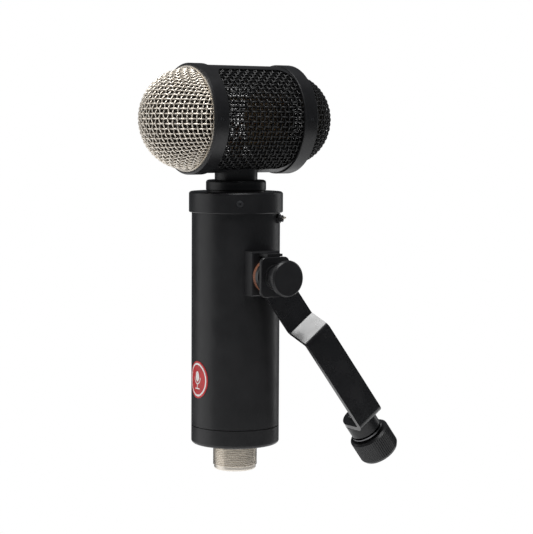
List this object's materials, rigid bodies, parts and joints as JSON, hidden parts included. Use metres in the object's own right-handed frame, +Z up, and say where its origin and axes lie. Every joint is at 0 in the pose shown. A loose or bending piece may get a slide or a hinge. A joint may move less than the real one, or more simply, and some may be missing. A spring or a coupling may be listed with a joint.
{
  "type": "studio microphone",
  "caption": "Two-headed side-grille studio microphone with a black tube body and a folding stand arm, friction knob and knurled stand nut.",
  "frame": {"origin": "centre of the connector barrel's end face, on the body's axis", "axes": "+Z up the body, -Y the way the front grille looks, +X towards the stand arm's pivot"},
  "size_m": [0.0838, 0.1475, 0.2297],
  "materials": {
    "black_anodised": "satin black anodised",
    "black_gloss": "semi-gloss black lacquer",
    "nickel_mesh": "bright nickel woven wire",
    "black_mesh": "black coated woven wire",
    "nickel": "satin nickel",
    "steel": "bright zinc steel",
    "black_steel": "black oxide",
    "brass": "turned brass",
    "aged_brass": "dark aged brass",
    "gauze": "fine dark wire gauze",
    "gold_film": "gold coated film",
    "fibre": "brown vulcanised fibre",
    "rubber": "matt rubber",
    "board_green": "glass fibre laminate",
    "lamination": "bare laminations",
    "winding_tape": "yellow polyester tape",
    "capacitor_red": "dipped film",
    "can_sleeve": "shrink sleeve",
    "black_plastic": "moulded",
    "resistor_blue": "lacquer",
    "wire_orange": "insulation",
    "badge_red": "enamel with bright border"
  },
  "bodies": {
    "stand_nut": {"stand_nut": "black_anodised"},
    "arm": {"arm": "black_gloss", "foot_screw": "black_steel", "swivel_neck": "black_anodised", "swivel_washer": "black_steel", "snap_ring": "black_steel"},
    "clamp_washer": {"knob_washer": "black_steel"},
    "knob": {"knob": "black_anodised"},
    "pad_lever": {"pad_lever": "nickel"},
    "filter_lever": {"filter_lever": "nickel"},
    "microphone": {"badge": "badge_red", "barrel_nut": "steel", "body_tube": "black_anodised", "bottom_cap": "black_anodised", "bracket_screws": "black_steel", "cap_screws": "black_steel", "capsule_carriers": "brass", "capsule_leads": "wire_orange", "capsule_post": "brass", "chassis_rails": "steel", "circuit_board": "board_green", "collar": "black_anodised", "connector_insert": "black_plastic", "contact_pins": "brass", "electrolytic_cans": "can_sleeve", "film_capacitors": "capacitor_red", "front_capsule": "aged_brass", "front_clamp_ring": "gold_film", "front_grille": "nickel_mesh", "front_grille_rim": "nickel", "front_liner": "gauze", "front_ring": "black_anodised", "head_frame": "black_anodised", "inner_friction_washer": "fibre", "left_grille": "black_mesh", "neck": "black_anodised", "outer_friction_washer": "black_plastic", "output_leads": "wire_orange", "pivot_block": "black_anodised", "pivot_bolt": "steel", "pressure_plate": "black_anodised", "rear_capsule": "aged_brass", "rear_clamp_ring": "gold_film", "rear_grille": "black_mesh", "rear_grille_rim": "black_steel", "rear_liner": "gauze", "rear_ring": "black_anodised", "resistors": "resistor_blue", "right_grille": "black_mesh", "ring_screws": "black_steel", "rubber_isolator": "rubber", "side_liner": "black_mesh", "switch_nuts": "black_steel", "tail_barrel": "nickel", "toggle_switches": "black_plastic", "top_cap": "black_anodised", "transformer_coil": "winding_tape", "transformer_core": "lamination", "transistors": "black_plastic"}
  },
  "joints": [
    {"name": "arm_swivel", "type": "hinge", "parent": "stand_nut", "child": "arm", "pos_m": [0.0327, 0.07101, 0.01826], "axis": [0, -0.6018, 0.7986], "continuous": true},
    {"name": "tilt", "type": "hinge", "parent": "arm", "child": "microphone", "pos_m": [0.035, 0, 0.1125], "axis": [1, 0, 0], "range_deg": [-67, 140]},
    {"name": "knob_travel", "type": "slide", "parent": "microphone", "child": "clamp_washer", "axis": [1, 0, 0], "range_m": [0, 0.002]},
    {"name": "knob_turn", "type": "hinge", "parent": "clamp_washer", "child": "knob", "pos_m": [0.045, 0, 0.1125], "axis": [1, 0, 0], "range_deg": [0, 720]},
    {"name": "pad_toggle", "type": "hinge", "parent": "microphone", "child": "pad_lever", "pos_m": [0.02088, 0.01631, 0.1434], "axis": [-0.6157, 0.788, 0], "range_deg": [0, 24]},
    {"name": "filter_toggle", "type": "hinge", "parent": "microphone", "child": "filter_lever", "pos_m": [-0.02088, 0.01631, 0.1434], "axis": [-0.6157, -0.788, 0], "range_deg": [0, 24]}
  ],
  "couplings": [
    {"joint": "knob_turn", "follows": "knob_travel", "rad_per_m": 6283.2}
  ]
}
